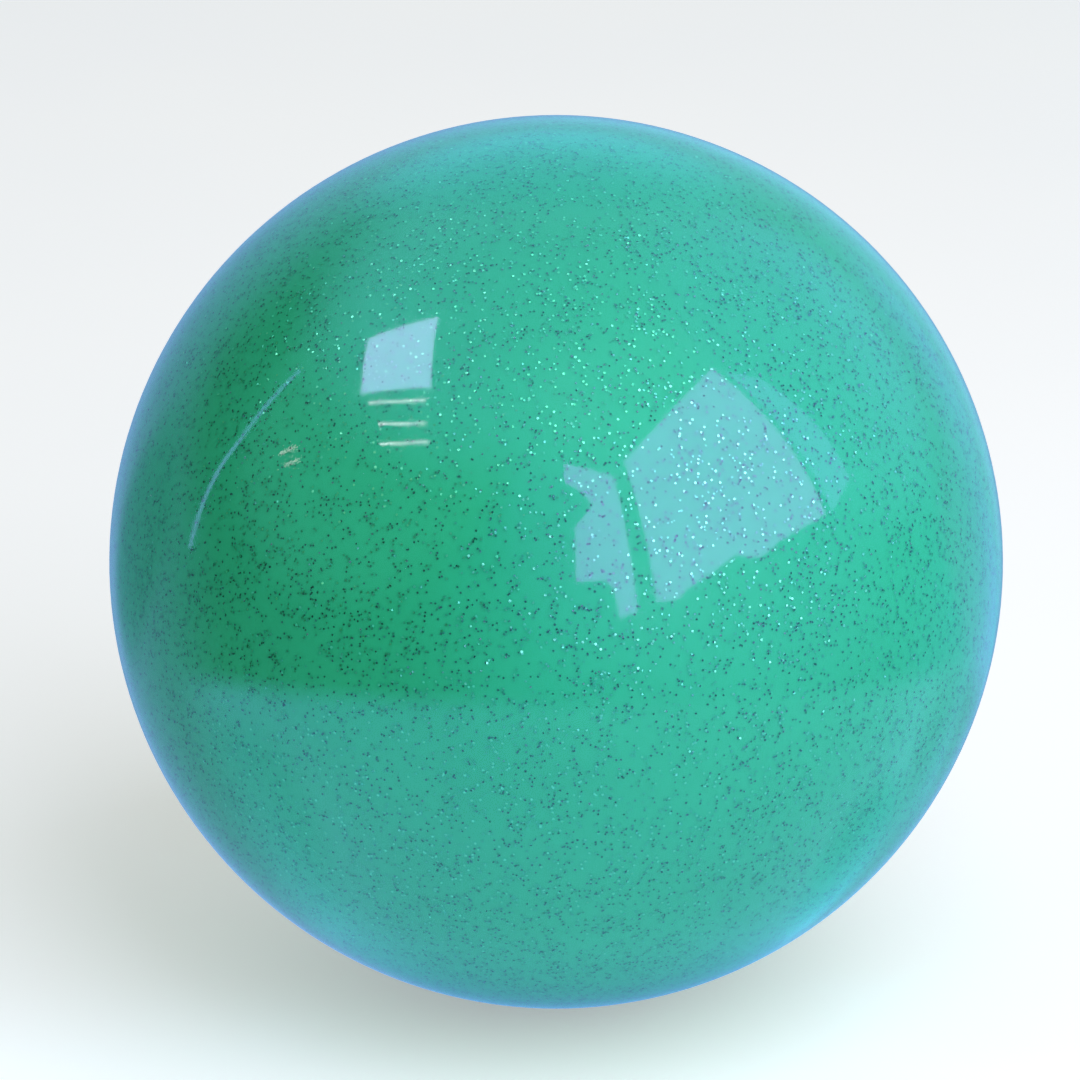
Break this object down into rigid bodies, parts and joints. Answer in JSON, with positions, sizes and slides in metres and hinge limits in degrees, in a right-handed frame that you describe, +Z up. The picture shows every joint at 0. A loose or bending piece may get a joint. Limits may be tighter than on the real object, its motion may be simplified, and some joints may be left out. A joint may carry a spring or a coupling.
{
  "type": "rhythmic gymnastics ball",
  "caption": "Glossy inflated ball for rhythmic gymnastics: clear glitter skin over a green air-holding shell, with a rubber needle valve closed by a pull-out stopper.",
  "frame": {"origin": "centre of the ball", "axes": "+Y out through the valve, away from the viewer; +Z up as pictured; +X to the viewer's right"},
  "size_m": [0.185, 0.1847, 0.185],
  "materials": {
    "clear_skin": "gloss",
    "green_pvc": "satin",
    "valve_rubber": "matte",
    "plug_plastic": "satin",
    "glitter": "polished"
  },
  "bodies": {
    "ball": {"coloured_shell": "green_pvc", "glitter_skin": "clear_skin", "valve_body": "valve_rubber"},
    "plug": {"valve_plug": "plug_plastic"}
  },
  "joints": [
    {"name": "plug_pull", "type": "slide", "parent": "ball", "child": "plug", "axis": [0, 1, 0], "range_m": [0, 0.03]}
  ]
}
